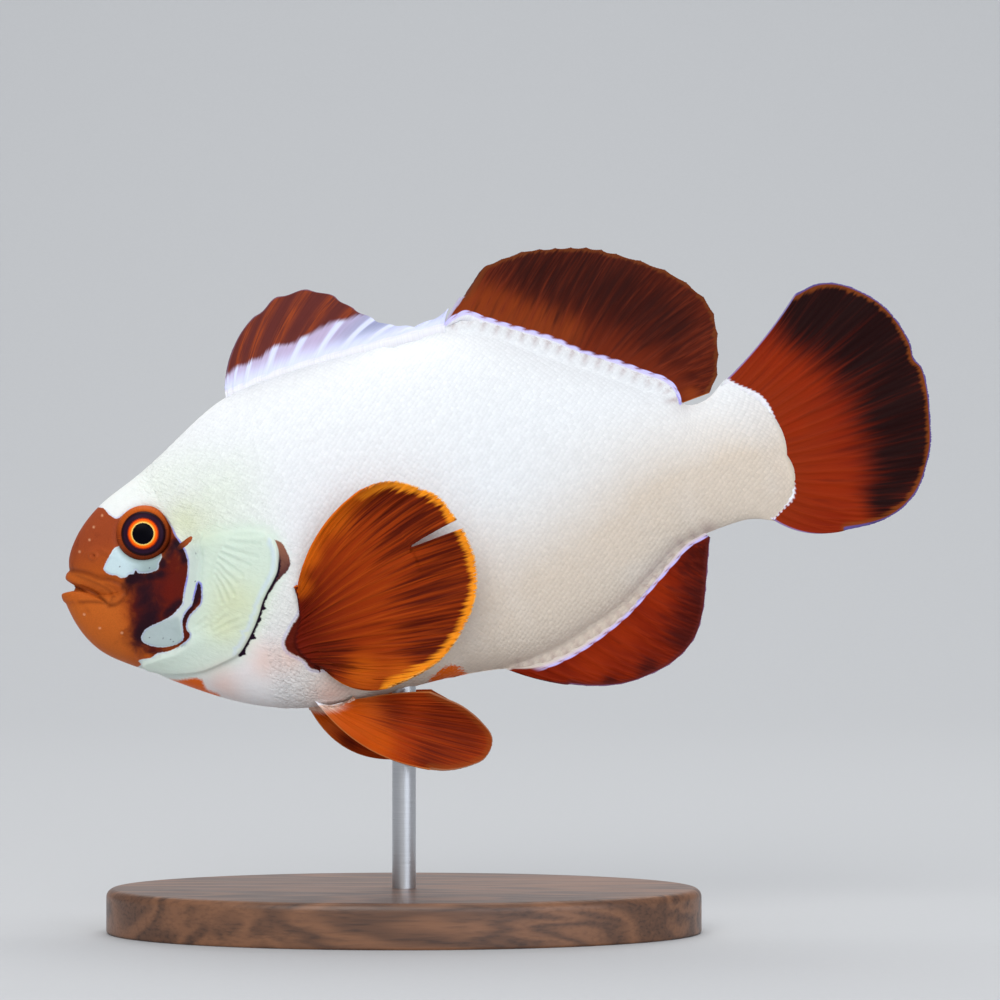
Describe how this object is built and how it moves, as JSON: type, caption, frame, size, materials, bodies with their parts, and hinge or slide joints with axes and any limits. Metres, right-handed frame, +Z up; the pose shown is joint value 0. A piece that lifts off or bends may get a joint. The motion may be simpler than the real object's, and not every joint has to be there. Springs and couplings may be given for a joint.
{
  "type": "maroon clownfish",
  "caption": "Life-size, nearly white maroon clownfish with brown face, eyes and fins, tilted nose down on an oval wooden base with one steel rod.",
  "frame": {"origin": "centre of the stand base's underside", "axes": "+X towards the tail, +Y towards the fish's right side, +Z up"},
  "size_m": [0.1171, 0.046, 0.0924],
  "materials": {
    "white_skin": "satin, scaled, white to pale beige",
    "brown_skin": "satin, orange brown",
    "fin_brown": "satin, maroon brown with fine rays",
    "fin_orange": "satin, orange brown with dark streaks",
    "eye": "gloss, ringed in orange and brown",
    "cheek_spine": "satin, brown",
    "stand_wood": "satin, dark walnut",
    "stand_steel": "brushed"
  },
  "bodies": {
    "root": {"head": "white_skin", "jaw": "brown_skin", "trunk": "white_skin", "tail_stem": "white_skin", "gill_cover_left": "white_skin", "gill_cover_right": "white_skin", "dorsal_fin_spiny": "fin_brown", "dorsal_fin_soft": "fin_brown", "caudal_fin": "fin_brown", "anal_fin": "fin_brown", "pectoral_fin_left": "fin_orange", "pectoral_fin_right": "fin_orange", "pelvic_fin_left": "fin_orange", "pelvic_fin_right": "fin_orange", "eye_left": "eye", "eye_right": "eye", "cheek_spine_left": "cheek_spine", "cheek_spine_right": "cheek_spine", "stand_base": "stand_wood", "stand_rod": "stand_steel"}
  },
  "joints": []
}
